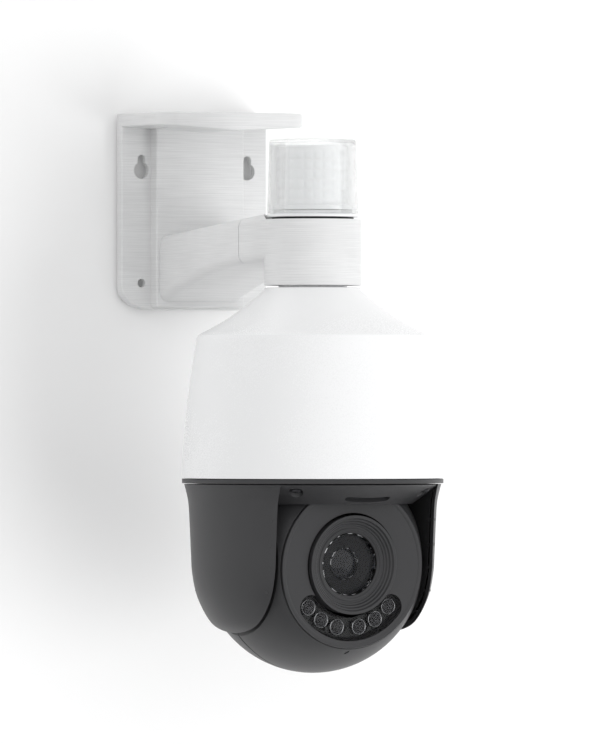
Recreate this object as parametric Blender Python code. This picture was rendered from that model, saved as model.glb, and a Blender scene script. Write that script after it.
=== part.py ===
"""A wall-mounted pan and tilt camera with a clear alarm light on top, at rest.

The origin is the centre of the bracket's wall face, +Z is up, and the camera hangs out along -Y.
Sizes below are in millimetres, and each mesh is scaled to metres when it becomes an object.
"""

import math

import bmesh
import bpy
from mathutils import Matrix, Vector

MM = 0.001
GAP = 0.3  # clearance between pieces that touch on the real camera

# Driving dimensions: where the two axes are, and how far the lens dips at rest
REACH = 128.5  # wall to pan axis
TILT_Z = -185.3  # height of the tilt axis
LENS_DIP = 3.0  # degrees below the horizon

# Wall bracket
PLATE_WIDTH, PLATE_HEIGHT, PLATE_THICK = 89.4, 104.6, 5.8
CORNER_WIDTH, CORNER_HEIGHT = 18.4, 11.8
PANEL_HALF, PANEL_FRONT, PANEL_FOOT = 27.0, 12.1, -51.0
FLANGE_DEPTH, FLANGE_CORNER, FLANGE_EDGE, FLANGE_MIDDLE = 51.0, 11.0, 7.2, 9.7
KEYHOLE_X, KEYHOLE_Z, KEYHOLE_R, KEYHOLE_NECK_R, KEYHOLE_TOP = 32.75, 22.1, 4.52, 2.3, 28.1
LOWER_HOLE_Z, LOWER_HOLE_R = -38.1, 2.25
SOFFIT_HOLES = ((11.2, 2.25), (27.2, 3.5))  # distance from the wall, radius
ARM_HALF, ARM_END, ARM_EDGE_R = 25.0, 94.0, 5.0
ARM_TOP_ROOT, ARM_TOP_END = -12.6, -4.9
ARM_FOOT_ROOT, ARM_FOOT_END, ARM_ARCH_R = -48.0, -29.0, 300.0
CABLE_Z, CABLE_R = -18.0, 7.0

# Collar and alarm light, on the pan axis
COLLAR_R, COLLAR_TOP, COLLAR_FOOT = 25.5, -6.0, -40.5
TUBE_R, TUBE_BORE_R = 18.0, 14.5
BEACON_TOP, BEACON_TOP_R, BEACON_FOOT_R, BEACON_FOOT = 36.0, 22.7, 24.2, -4.7
BEACON_WALL, BEACON_LENS_R, BEACON_LENS_TOP = 1.6, 19.0, 33.0

# White head shell
SHELL_TOP, SHELL_TOP_R = -41.65, 25.0
SHOULDER_Z, SHOULDER_R, CONE_ARC_R = -66.4, 59.9, 126.0
SHELL_FOOT, SHELL_FOOT_R, SIDE_ARC_R = -141.4, 68.7, 545.0
SHELL_WALL = 2.5
RIM_TOP, RIM_FOOT, RIM_R = -141.7, -144.0, 68.5

# Pan drive: its belt ratio is PAN_PULLEY_R / PAN_PINION_R
PAN_PULLEY_R, PAN_PINION_R, PAN_CENTRES = 30.0, 7.5, 40.0
CHASSIS_TOP, CHASSIS_THICK, CHASSIS_R, CHASSIS_SCREW_CIRCLE = -112.0, 3.0, 58.0, 50.0
PAN_SHAFT_R, PAN_SHAFT_BORE_R = 15.0, 11.5
MOTOR_PLATE_Z = -94.5
BOARD_Z = -72.0

# Yoke: an outline of revolution, cut away between the cheeks
YOKE_TOP, YOKE_R = -144.5, 67.4
YOKE_OUTLINE = ((67.4, -144.5), (66.5, -147.6), (65.2, -153.9), (64.6, -163.0), (63.9, -179.0),
                (63.1, -191.6), (60.25, -204.2), (53.5, -216.8), (45.0, -224.0))
CHEEK_X, CHEEK_WALL, CHEEK_PLATE = 47.7, 2.0, 2.0
BROW_R, BROW_FOOT, BROW_HALF = 52.0, -154.8, 47.4
ROOF_TOP, ROOF_R, ROOF_WALL = -120.5, 58.0, 2.0
YOKE_SCREW_CIRCLE, YOKE_SCREW_ANGLES = 61.5, (-39, 39, 141, 219)

# Tilt drive in the left cheek: its belt ratio is TILT_PULLEY_R / TILT_PINION_R
TILT_PULLEY_R, TILT_PINION_R, TILT_CENTRES = 13.5, 4.5, 27.3
TRUNNION_R, BEARING_R = 5.0, 9.0

# Camera ball: heights along the lens axis are counted forwards from the ball's centre
BALL_R, BALL_WALL, BALL_HALF = 58.15, 2.2, 43.75
SEAM = 0.2
FACE_R, FACE_AT, FACE_SEAT = 42.6, 39.9, 37.6
LENS_RISE = 1.2
LENS_HOLE_R, LENS_RING_R = 27.0, 25.9
GLASS_R, BARREL_R, BARREL_BORE_R, CELL_R = 16.1, 17.8, 14.2, 13.8
LED_CIRCLE_R, LED_R, WINDOW_HALF = 32.1, 4.2, 6.3
LED_ANGLES = (-49.1, -30.7, -12.0, 12.0, 30.7, 49.1)
MIC_TURN = 140.6  # degrees from straight up, over the front, to the microphone hole


# --- Modelling tools -------------------------------------------------------------------------


def finish(name, colour, roughness, metallic=0.0, alpha=1.0):
    """A plain Principled material."""
    material = bpy.data.materials.new(name)
    material.use_nodes = True
    shader = material.node_tree.nodes["Principled BSDF"]
    shader.inputs["Base Color"].default_value = (*colour, 1.0)
    shader.inputs["Roughness"].default_value = roughness
    shader.inputs["Metallic"].default_value = metallic
    shader.inputs["Alpha"].default_value = alpha
    material.diffuse_color = (*colour, alpha)
    return material


def add(name, bm, material, parent=None):
    """Scales a millimetre mesh to metres and makes it a named object under its parent."""
    bmesh.ops.recalc_face_normals(bm, faces=bm.faces)
    bmesh.ops.scale(bm, vec=(MM, MM, MM), verts=bm.verts)
    mesh = bpy.data.meshes.new(name)
    bm.to_mesh(mesh)
    bm.free()
    mesh.shade_smooth()
    mesh.set_sharp_from_angle(angle=math.radians(35))
    mesh.materials.append(material)
    piece = bpy.data.objects.new(name, mesh)
    piece.parent = parent
    bpy.context.scene.collection.objects.link(piece)
    return piece


def add_axis(name, at, parent=None, dip=0.0):
    """An empty on an axis of the camera, which carries the pieces that belong to it."""
    empty = bpy.data.objects.new(name, None)
    empty.empty_display_size = 0.03
    empty.parent = parent
    empty.location = Vector(at) * MM
    empty.rotation_euler.x = math.radians(dip)
    bpy.context.scene.collection.objects.link(empty)
    return empty


def combine(piece, bm, operation):
    """Cuts, joins or trims a piece with a hidden shape drawn in the piece's own frame."""
    tool = add(f"{piece.name}_{operation.lower()}", bm, piece.data.materials[0], piece.parent)
    tool.hide_render = True
    tool.display_type = "WIRE"
    boolean = piece.modifiers.new(operation.title(), "BOOLEAN")
    boolean.operation = operation
    boolean.solver = "EXACT"
    boolean.object = tool
    return tool


def turned(outline, segments=28):
    """Spins (radius, height) points about Z. An outline with both ends on the axis is closed there."""
    bm = bmesh.new()
    points = [bm.verts.new((radius, 0.0, height)) for radius, height in outline]
    on_axis = outline[0][0] == 0.0 and outline[-1][0] == 0.0
    following = points[1:] if on_axis else points[1:] + points[:1]
    edges = [bm.edges.new(pair) for pair in zip(points, following)]
    bmesh.ops.spin(bm, geom=points + edges, cent=(0, 0, 0), axis=(0, 0, 1),
                   angle=math.tau, steps=segments, use_merge=True)
    bmesh.ops.remove_doubles(bm, verts=bm.verts, dist=1e-4)
    bmesh.ops.dissolve_degenerate(bm, dist=1e-5, edges=bm.edges)
    return bm


def ring(inner, outer, low, high, segments=28):
    return turned([(inner, low), (outer, low), (outer, high), (inner, high)], segments)


def rod(radius, low, high, segments=14):
    return turned([(0.0, low), (radius, low), (radius, high), (0.0, high)], segments)


def screw(head_r, head, shank_r, length):
    """A screw standing on its head, with its shank pointing up."""
    return turned([(0.0, 0.0), (head_r, 0.0), (head_r, head), (shank_r, head),
                   (shank_r, length), (0.0, length)], 8)


def block(size, centre=(0.0, 0.0, 0.0)):
    bm = bmesh.new()
    bmesh.ops.create_cube(bm, size=1.0)
    bmesh.ops.scale(bm, vec=size, verts=bm.verts)
    return moved(bm, *centre)


def raised(bm, faces, height):
    """Extrudes faces along Z."""
    made = bmesh.ops.extrude_face_region(bm, geom=faces)
    top = [item for item in made["geom"] if isinstance(item, bmesh.types.BMVert)]
    bmesh.ops.translate(bm, vec=(0, 0, height), verts=top)
    return bm


def prism(outline, low, high):
    """A closed (x, y) outline extruded along Z."""
    bm = bmesh.new()
    face = bm.faces.new([bm.verts.new((x, y, low)) for x, y in outline])
    return raised(bm, [face], high - low)


def hoop(outer, inner, low, high):
    """A flat loop between two closed outlines, extruded along Z."""
    bm = bmesh.new()
    loops = []
    for outline in (outer, inner):
        points = [bm.verts.new((x, y, low)) for x, y in outline]
        loops += [bm.edges.new(pair) for pair in zip(points, points[1:] + points[:1])]
    faces = bmesh.ops.bridge_loops(bm, edges=loops)["faces"]
    return raised(bm, faces, high - low)


def moved(bm, x=0.0, y=0.0, z=0.0):
    bmesh.ops.translate(bm, vec=(x, y, z), verts=bm.verts)
    return bm


def spun(bm, degrees, axis):
    bmesh.ops.rotate(bm, cent=(0, 0, 0), matrix=Matrix.Rotation(math.radians(degrees), 3, axis),
                     verts=bm.verts)
    return bm


def forward(bm):
    """Turns a shape so that its height points along -Y, with its outline's y upwards."""
    return spun(bm, 90, "X")


def rightward(bm):
    """Turns a shape so that its height points along +X."""
    return spun(bm, 90, "Y")


def sideways(bm):
    """Turns a prism of a (y, z) outline so that its height lies along X."""
    bmesh.ops.rotate(bm, cent=(0, 0, 0), matrix=Matrix(((0, 0, 1), (1, 0, 0), (0, 1, 0))),
                     verts=bm.verts)
    return bm


def sliced(bm, point, outward):
    """Cuts off what lies beyond a plane and closes the cut."""
    everything = bm.verts[:] + bm.edges[:] + bm.faces[:]
    bmesh.ops.bisect_plane(bm, geom=everything, plane_co=point, plane_no=outward, clear_outer=True)
    bmesh.ops.holes_fill(bm, edges=[edge for edge in bm.edges if edge.is_boundary])
    return bm


def round_long_edges(bm, root, end, radius):
    """Rounds the edges of a sideways prism's two side faces, except at its root and its end."""
    edges = []
    for edge in bm.edges:
        a, b = (vert.co for vert in edge.verts)
        at_root = min(a.y, b.y) > root
        at_end = max(a.y, b.y) < end
        if abs(a.x - b.x) < 0.01 and not at_root and not at_end:
            edges.append(edge)
    bmesh.ops.bevel(bm, geom=edges, offset=radius, offset_type="OFFSET", segments=3, profile=0.5,
                    affect="EDGES", material=-1, clamp_overlap=True)
    return bm


def arc(centre, radius, start, end, steps):
    """Points on a circle from one angle to another, in degrees."""
    angles = [math.radians(start + (end - start) * i / steps) for i in range(steps + 1)]
    return [(centre[0] + radius * math.cos(a), centre[1] + radius * math.sin(a)) for a in angles]


def bowed(start, end, radius, steps, side=1.0):
    """Points on a shallow arc that bulges to the left of the way from start to end, or right at -1."""
    a, b = Vector(start), Vector(end)
    along = b - a
    half = along.length / 2
    left = Vector((-along.y, along.x)).normalized() * side
    points = []
    for i in range(steps + 1):
        offset = (2 * i / steps - 1) * half
        rise = math.sqrt(radius**2 - offset**2) - math.sqrt(radius**2 - half**2)
        points.append(tuple(a + along * (i / steps) + left * rise))
    return points


def ball_arc(radius, low, high, steps):
    """(radius, height) points on a ball centred on the axis, between two heights."""
    first, last = (math.degrees(math.asin(height / radius)) for height in (low, high))
    points = arc((0, 0), radius, first, last, steps)
    return points[:-1] + [(0.0, high)] if abs(high) == radius else points


def drawn_in(outline, inset):
    """An outline of revolution moved inwards, along its own normals."""
    points = []
    for i, point in enumerate(outline):
        before, after = outline[max(i - 1, 0)], outline[min(i + 1, len(outline) - 1)]
        along = (Vector(after) - Vector(before)).normalized()
        points.append((point[0] + along.y * inset, point[1] - along.x * inset))
    return points


def belt_line(radius_a, radius_b, centres, steps=8):
    """A taut loop round a wheel at (0, 0) and another at (centres, 0)."""
    lean = math.degrees(math.acos((radius_a - radius_b) / centres))
    loop = arc((0, 0), radius_a, lean, 360 - lean, 2 * steps)
    return loop + arc((centres, 0), radius_b, -lean, lean, steps)


def arc_slot(radius, half_width, sweep, steps=10):
    """A curved slot below the origin, with round ends at plus and minus sweep degrees."""
    outline = arc((0, 0), radius + half_width, -90 - sweep, -90 + sweep, steps)
    right = arc((0, 0), radius, -90 + sweep, 0, 1)[0]
    outline += arc(right, half_width, -90 + sweep, 90 + sweep, 6)[1:-1]
    outline += arc((0, 0), radius - half_width, -90 + sweep, -90 - sweep, steps)
    left = arc((0, 0), radius, -90 - sweep, 0, 1)[0]
    outline += arc(left, half_width, 90 - sweep, 270 - sweep, 6)[1:-1]
    return outline


def polar(radius, degrees):
    """A place round an upright axis, counted from straight ahead (-Y) towards +X."""
    angle = math.radians(degrees)
    return radius * math.sin(angle), -radius * math.cos(angle)


# --- Wall bracket and arm --------------------------------------------------------------------


def arm_solid(start, end, half_width):
    """The bracket's arm between two distances from the wall, with its long edges rounded."""
    slope = (ARM_TOP_END - ARM_TOP_ROOT) / (ARM_END - PANEL_FRONT)

    def top(distance):
        return ARM_TOP_ROOT + slope * (distance - PANEL_FRONT)

    side = [(-start, top(start)), (-end, top(end))]
    if end > ARM_END:
        side += [(-end, ARM_FOOT_END + 1.3), (-start, ARM_FOOT_END)]
    else:
        side += bowed((-ARM_END, ARM_FOOT_END), (-PANEL_FRONT, ARM_FOOT_ROOT), ARM_ARCH_R, 6)
        side += [(-start, ARM_FOOT_ROOT)]
    arm = sideways(prism(side, -half_width, half_width))
    return round_long_edges(arm, -start - 0.5, -end + 0.5, ARM_EDGE_R)


def plate_outline():
    half_x, half_z = PLATE_WIDTH / 2, PLATE_HEIGHT / 2
    corner = [(half_x - CORNER_WIDTH * (1 - math.sin(math.radians(a))),
               -half_z + CORNER_HEIGHT * (1 - math.cos(math.radians(a)))) for a in range(0, 91, 15)]
    return [(-half_x, half_z)] + [(-x, z) for x, z in reversed(corner)] + corner + [(half_x, half_z)]


def flange_solid():
    """The canopy over the plate: round front corners and a shallow V underneath."""
    half_x, top, front = PLATE_WIDTH / 2, PLATE_HEIGHT / 2, -FLANGE_DEPTH
    outline = [(half_x, -0.5), (-half_x, -0.5)]
    inset = FLANGE_CORNER
    outline += arc((-half_x + inset, front + inset), FLANGE_CORNER, 180, 270, 5)
    outline += arc((half_x - inset, front + inset), FLANGE_CORNER, 270, 360, 5)
    flange = prism(outline, top - FLANGE_MIDDLE - 1, top)
    for side in (-1, 1):
        fall = (FLANGE_MIDDLE - FLANGE_EDGE) / half_x
        sliced(flange, (0, 0, top - FLANGE_MIDDLE), (side * fall, 0, -1))
    return flange


def build_bracket(cast, rubber):
    bracket = add("wall_bracket", forward(prism(plate_outline(), 0, PLATE_THICK)), cast)
    panel_top = PLATE_HEIGHT / 2 - 3
    panel = block((2 * PANEL_HALF, PANEL_FRONT - 1, panel_top - PANEL_FOOT),
                  (0, -(PANEL_FRONT + 1) / 2, (panel_top + PANEL_FOOT) / 2))
    combine(bracket, panel, "UNION")
    combine(bracket, flange_solid(), "UNION")
    combine(bracket, arm_solid(8.0, ARM_END, ARM_HALF), "UNION")

    # Casting pockets leave a rim and a cross web behind the plate, and the arm is hollow for the cable
    for low, high in ((6.0, 42.0), (-40.0, -6.0)):
        combine(bracket, block((77, 5.6, high - low), (0, 0, (low + high) / 2)), "DIFFERENCE")
    combine(bracket, block((44, 18, 31), (0, 0, 24)), "DIFFERENCE")
    tunnel = [(1.0, -19.5), (-ARM_END + 6, -12.0), (-ARM_END + 6, -24.0), (-50.0, -30.0), (1.0, -38.0)]
    combine(bracket, sideways(prism(tunnel, -18, 18)), "DIFFERENCE")
    outlet = moved(forward(rod(CABLE_R, 80, 100, 20)), 0, 0, CABLE_Z)
    combine(bracket, outlet, "DIFFERENCE")

    for x in (-KEYHOLE_X, KEYHOLE_X):
        spread = math.degrees(math.asin(KEYHOLE_NECK_R / KEYHOLE_R))
        keyhole = arc((x, KEYHOLE_Z), KEYHOLE_R, 90 + spread, 450 - spread, 16)
        keyhole += arc((x, KEYHOLE_TOP), KEYHOLE_NECK_R, 0, 180, 6)
        combine(bracket, forward(prism(keyhole, -2, 9)), "DIFFERENCE")
        lower = moved(forward(rod(LOWER_HOLE_R, -2, 9, 12)), x, 0, LOWER_HOLE_Z)
        combine(bracket, lower, "DIFFERENCE")
        for distance, radius in SOFFIT_HOLES:
            combine(bracket, moved(rod(radius, 38, 60, 12), x, -distance), "DIFFERENCE")

    grommet = turned([(4.5, 0), (CABLE_R - GAP, 0), (CABLE_R - GAP, 12), (4.5, 12)], 20)
    add("cable_grommet", moved(forward(grommet), 0, -ARM_END + 5, CABLE_Z), rubber)


# --- Collar, neck and alarm light ------------------------------------------------------------


def build_collar(cast, steel, axis):
    collar = add("neck_collar", rod(COLLAR_R, COLLAR_FOOT, COLLAR_TOP + 1, 32), cast, axis)
    stub = moved(arm_solid(ARM_END + GAP, REACH, ARM_HALF - 0.05), 0, REACH)
    combine(collar, stub, "UNION")
    combine(collar, rod(COLLAR_R + 0.02, COLLAR_TOP, 5, 32), "DIFFERENCE")
    combine(collar, rod(TUBE_R + GAP, COLLAR_FOOT - 2, -12, 24), "DIFFERENCE")
    combine(collar, rod(5.0, -14, 0, 16), "DIFFERENCE")
    combine(collar, moved(forward(rod(CABLE_R, -40, -10, 20)), 0, 0, CABLE_Z), "DIFFERENCE")
    add("neck_tube", ring(TUBE_BORE_R, TUBE_R, -60.0, -26.0, 20), steel, axis)


def build_beacon(white, board, clear, rubber, axis):
    add("beacon_seal", ring(14, 21.5, COLLAR_TOP + GAP, BEACON_FOOT - GAP, 24), rubber, axis)
    base = turned([(8, BEACON_FOOT), (BEACON_FOOT_R, BEACON_FOOT), (BEACON_FOOT_R, -3.2),
                   (20.5, -3.2), (20.5, -1.2), (8, -1.2)], 28)
    add("beacon_base", base, white, axis)
    lamps = add("beacon_board", ring(6, 17.0, -1.2 + GAP, 0.7, 24), board, axis)
    for step in range(8):
        x, y = polar(12.0, 45 * step)
        combine(lamps, block((3.5, 3.5, 2.0), (x, y, 1.4)), "UNION")
    foot, inner, top = -1.2 + GAP, BEACON_LENS_R - 1.4, BEACON_LENS_TOP
    lens = turned([(0.0, top), (BEACON_LENS_R - 1, top), (BEACON_LENS_R, top - 1), (BEACON_LENS_R, foot),
                   (inner, foot), (inner, top - 1.4), (0.0, top - 1.4)], 24)
    add("beacon_lens", lens, clear, axis)
    foot, wall = -3.2 + GAP, BEACON_WALL
    foot_r = BEACON_FOOT_R - 0.2
    cover = turned([(0.0, BEACON_TOP), (BEACON_TOP_R - 1.5, BEACON_TOP),
                    (BEACON_TOP_R - 0.4, BEACON_TOP - 0.4), (BEACON_TOP_R, BEACON_TOP - 1.5),
                    (foot_r, foot), (foot_r - wall, foot), (BEACON_TOP_R - wall, BEACON_TOP - wall - 0.6),
                    (BEACON_TOP_R - wall - 0.6, BEACON_TOP - wall), (0.0, BEACON_TOP - wall)], 28)
    add("beacon_cover", cover, clear, axis)


# --- White head, with the fixed half of the pan drive ----------------------------------------


def head_outline():
    """The shell's outer line from its neck hole to its foot, then its inner line back up."""
    bore = TUBE_R + 0.4
    outline = [(bore, SHELL_TOP), (SHELL_TOP_R - 0.4, SHELL_TOP)]
    outline += bowed((SHELL_TOP_R, SHELL_TOP - 0.4), (SHOULDER_R, SHOULDER_Z), CONE_ARC_R, 4, side=-1)
    outline += bowed((SHOULDER_R + 0.7, SHOULDER_Z - 1.2), (SHELL_FOOT_R, SHELL_FOOT), SIDE_ARC_R, 3)
    outline += bowed((SHELL_FOOT_R - SHELL_WALL, SHELL_FOOT), (SHOULDER_R - 1.8, SHOULDER_Z - 3.1),
                     SIDE_ARC_R - SHELL_WALL, 2, side=-1)
    outline += bowed((SHOULDER_R - 2.3, SHOULDER_Z - 1.7), (SHELL_TOP_R - 2.2, SHELL_TOP - SHELL_WALL),
                     CONE_ARC_R + SHELL_WALL, 2)
    return outline + [(bore, SHELL_TOP - SHELL_WALL)]


def build_head(parts, axis):
    shell = add("upper_shell", turned(head_outline(), 32), parts["white"], axis)
    screw_places = [polar(CHASSIS_SCREW_CIRCLE, 4 + 120 * step) for step in range(3)]
    for x, y in screw_places:
        combine(shell, moved(rod(3.5, CHASSIS_TOP + GAP, -63.4, 12), x, y), "UNION")
    add("neck_nut", ring(TUBE_R + GAP, 24.5, -56.0, -50.5, 24), parts["steel"], axis)
    rim = turned([(61.0, RIM_FOOT), (RIM_R, RIM_FOOT), (RIM_R, RIM_TOP), (65.8, RIM_TOP),
                  (65.8, -138.5), (63.4, -138.5), (63.4, RIM_TOP), (61.0, RIM_TOP)], 32)
    add("trim_ring", rim, parts["dark"], axis)

    board = add("main_board", ring(26, 46, BOARD_Z, BOARD_Z + 1.6, 36), parts["board"], axis)
    chips = (((14, 14, 3), 36, 10), ((9, 9, 4), 36, 75), ((11, 11, 8), 34, 130),
             ((8, 16, 6), 36, 195), ((12, 8, 3), 36, 260), ((8, 8, 7), 36, 310))
    for size, radius, turn in chips:
        x, y = polar(radius, turn)
        combine(board, block(size, (x, y, BOARD_Z + size[2] / 2 + 0.8)), "UNION")

    under = CHASSIS_TOP - CHASSIS_THICK
    chassis = add("pan_chassis", turned([(19.4, under - 1.2), (24.0, under - 1.2), (24.0, under),
                                         (CHASSIS_R, under), (CHASSIS_R, CHASSIS_TOP), (24.0, CHASSIS_TOP),
                                         (24.0, CHASSIS_TOP + 4), (19.4, CHASSIS_TOP + 4)], 26),
                  parts["aluminium"], axis)
    for x, y in screw_places:
        combine(chassis, moved(rod(2.0, -118, -110, 12), x, y), "DIFFERENCE")
    for step in range(4):
        x, y = polar(42.0, 43 + 90 * step)
        combine(chassis, moved(rod(2.8, CHASSIS_TOP - 1, BOARD_Z - GAP, 8), x, y), "UNION")
    add("pan_bearing", ring(PAN_SHAFT_R + GAP, 19.1, under - 0.8, CHASSIS_TOP + 3.6, 24),
        parts["steel"], axis)


def build_pan_drive(parts, axis, motor_axis):
    """The motor stands on a plate behind the pan axis, with its shaft and pinion pointing down."""
    plate = add("motor_plate", block((34, 32, 2), (0, 0, MOTOR_PLATE_Z)), parts["steel"], motor_axis)
    combine(plate, rod(5.5, -99, -90, 20), "DIFFERENCE")
    for x in (-14.5, 14.5):
        combine(plate, moved(rod(2.4, CHASSIS_TOP + GAP, MOTOR_PLATE_Z, 10), x, 12), "UNION")
    base = MOTOR_PLATE_Z + 1 + GAP
    can = turned([(0.0, base), (16.0, base), (16.0, base + 17), (15.0, base + 18), (0.0, base + 18)], 24)
    add("pan_motor", can, parts["steel"], motor_axis)
    pinion = turned([(0.0, -108.0), (8.6, -108.0), (8.6, -107.0), (PAN_PINION_R, -107.0),
                     (PAN_PINION_R, -99.0), (8.6, -99.0), (8.6, -98.0), (3.0, -98.0),
                     (3.0, base - GAP), (0.0, base - GAP)], 14)
    add("pan_motor_pulley", pinion, parts["brass"], motor_axis)
    loops = [belt_line(PAN_PULLEY_R + offset, PAN_PINION_R + offset, PAN_CENTRES)
             for offset in (1.5, GAP)]
    add("pan_belt", spun(hoop(*loops, -106.0, -100.0), 90, "Z"), parts["rubber"], axis)


# --- Yoke, with the tilt drive in its left cheek ---------------------------------------------


def yoke_solid(inset):
    """The yoke's outer form as a solid of revolution, drawn in by inset."""
    lid = YOKE_TOP - inset
    outline = [point for point in drawn_in(YOKE_OUTLINE, inset) if point[1] < lid - 0.5]
    flare = (YOKE_OUTLINE[0][0] - YOKE_OUTLINE[1][0]) / (YOKE_OUTLINE[0][1] - YOKE_OUTLINE[1][1])
    lid_r = outline[0][0] + (lid - outline[0][1]) * flare
    return turned([(0.0, lid), (lid_r, lid)] + outline + [(0.0, outline[-1][1])], 40)


def build_yoke(parts, axis):
    dark = parts["dark"]
    hub = PAN_SHAFT_R + 0.4
    inner = ROOF_R - ROOF_WALL
    shelf = YOKE_TOP - 2.0
    frame_outline = [(hub, ROOF_TOP), (ROOF_R - 3, ROOF_TOP), (ROOF_R, ROOF_TOP - 3), (ROOF_R, YOKE_TOP),
                     (YOKE_R, YOKE_TOP), (BROW_R, BROW_FOOT), (BROW_R - 1.1, BROW_FOOT + 1.7),
                     (60.8, shelf), (inner, shelf), (inner, ROOF_TOP - 4), (inner - 1, ROOF_TOP - 3),
                     (hub, ROOF_TOP - 3)]
    frame = add("yoke_frame", turned(frame_outline, 32), dark, axis)
    for side in (-1, 1):
        trim = block((30, 140, 20), (side * (BROW_HALF + 15), 0, YOKE_TOP + GAP - 10))
        combine(frame, trim, "DIFFERENCE")
    speaker_slot = spun(block((27.0, 3.7, 14.0)), -33.8, "X")
    combine(frame, moved(speaker_slot, 0, -55.5, -152.4), "DIFFERENCE")
    for number, angle in enumerate(YOKE_SCREW_ANGLES, 1):
        x, y = polar(YOKE_SCREW_CIRCLE, angle)
        combine(frame, moved(rod(3.7, -158, YOKE_TOP - 2.3, 16), x, y), "DIFFERENCE")
        combine(frame, moved(rod(1.9, -150, -141, 10), x, y), "DIFFERENCE")
        fixing = moved(screw(3.0, 1.6, 1.5, 3.8), x, y, YOKE_TOP - 4.2)
        add(f"yoke_screw_{number}", fixing, parts["steel"], axis)
    add("speaker", block((26.0, 4.0, 3.0), (0, -50.7, -148.9)), parts["black"], axis)

    shaft = turned([(PAN_SHAFT_BORE_R, -96.0), (PAN_SHAFT_R, -96.0), (PAN_SHAFT_R, -118.0),
                    (22.0, -118.0), (22.0, ROOF_TOP + GAP), (PAN_SHAFT_R, ROOF_TOP + GAP),
                    (PAN_SHAFT_R, -123.3), (PAN_SHAFT_BORE_R, -123.3)], 20)
    add("pan_shaft", shaft, parts["aluminium"], axis)
    bore = PAN_SHAFT_R + GAP
    pulley = turned([(bore, -98.5), (31.0, -98.5), (31.0, -99.5), (PAN_PULLEY_R, -99.5),
                     (PAN_PULLEY_R, -106.5), (31.0, -106.5), (31.0, -107.4), (bore, -107.4)], 24)
    add("pan_pulley", pulley, parts["black"], axis)
    slip = turned([(0.0, -93.0), (15.0, -93.0), (15.0, -95.7), (11.0, -95.7), (11.0, -119.0),
                   (0.0, -119.0)], 24)
    add("slip_ring", slip, parts["black"], axis)

    for name, side in (("left", -1), ("right", 1)):
        cheek = add(f"cheek_{name}", yoke_solid(0.0), dark, axis)
        combine(cheek, block((200, 160, 120), (side * (CHEEK_X - 100), 0, -190)), "DIFFERENCE")
        combine(cheek, yoke_solid(CHEEK_WALL), "DIFFERENCE")
        plate = add(f"cheek_plate_{name}", yoke_solid(CHEEK_WALL + 2 * GAP), dark, axis)
        middle = side * (CHEEK_X + GAP + CHEEK_PLATE / 2)
        combine(plate, block((CHEEK_PLATE, 150, 120), (middle, 0, -190)), "INTERSECT")
        bore = moved(rightward(rod(BEARING_R + GAP, -70, 70, 24)), 0, 0, TILT_Z)
        combine(plate, bore, "DIFFERENCE")
        reach = [side * (CHEEK_X + offset) for offset in (0.2, 3.2)]
        bearing = rightward(ring(TRUNNION_R + GAP, BEARING_R, *reach, 24))
        add(f"tilt_bearing_{name}", moved(bearing, 0, 0, TILT_Z), parts["steel"], axis)

    board = add("driver_board", block((1.6, 40, 22), (53.2, 0, -162)), parts["board"], axis)
    for y in (-16, 16):
        post = moved(rightward(rod(1.5, CHEEK_X + 2 * GAP + CHEEK_PLATE, 53, 10)), 0, y, -162)
        combine(board, post, "UNION")
    for size, y in (((4, 10, 10), -8), ((2.4, 7, 7), 7)):
        combine(board, block(size, (53.2 + size[0] / 2, y, -162)), "UNION")


def build_tilt_drive(parts, axis, motor_axis):
    """A flat motor beside the cheek plate, a small pinion and a belt to the ball's own pulley."""
    face = -(CHEEK_X + 7.6)
    motor = add("tilt_motor", rightward(rod(9.5, face - 6, face, 28)), parts["steel"], motor_axis)
    combine(motor, block((1.5, 29, 7), (face - 2.2, 0, 0)), "UNION")
    for y in (-12.8, 12.8):
        post = moved(rightward(rod(1.6, face - 1.8, -(CHEEK_X + 2 * GAP + CHEEK_PLATE), 10)), 0, y)
        combine(motor, post, "UNION")
    inner, outer = face + 4.1, face + GAP
    pinion = turned([(0.0, inner), (6.0, inner), (6.0, inner - 0.6), (TILT_PINION_R, inner - 0.6),
                     (TILT_PINION_R, outer + 0.8), (6.0, outer + 0.8), (6.0, outer + 0.2), (2.0, outer + 0.2),
                     (2.0, outer), (0.0, outer)], 14)
    add("tilt_motor_pulley", rightward(pinion), parts["brass"], motor_axis)
    loops = [belt_line(TILT_PULLEY_R + offset, TILT_PINION_R + offset, TILT_CENTRES)
             for offset in (1.3, GAP)]
    belt = rightward(spun(hoop(*loops, outer + 1.2, inner - 0.9), 180, "Z"))
    add("tilt_belt", moved(belt, 0, 0, TILT_Z), parts["rubber"], axis)


# --- Camera ball -----------------------------------------------------------------------------


def ball_slab(outline, half_width, segments):
    """A piece of the ball, spun about the lens axis and cut flat on both sides."""
    bm = forward(turned(outline, segments))
    for side in (-1, 1):
        sliced(bm, (side * half_width, 0, 0), (side, 0, 0))
    return bm


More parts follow.
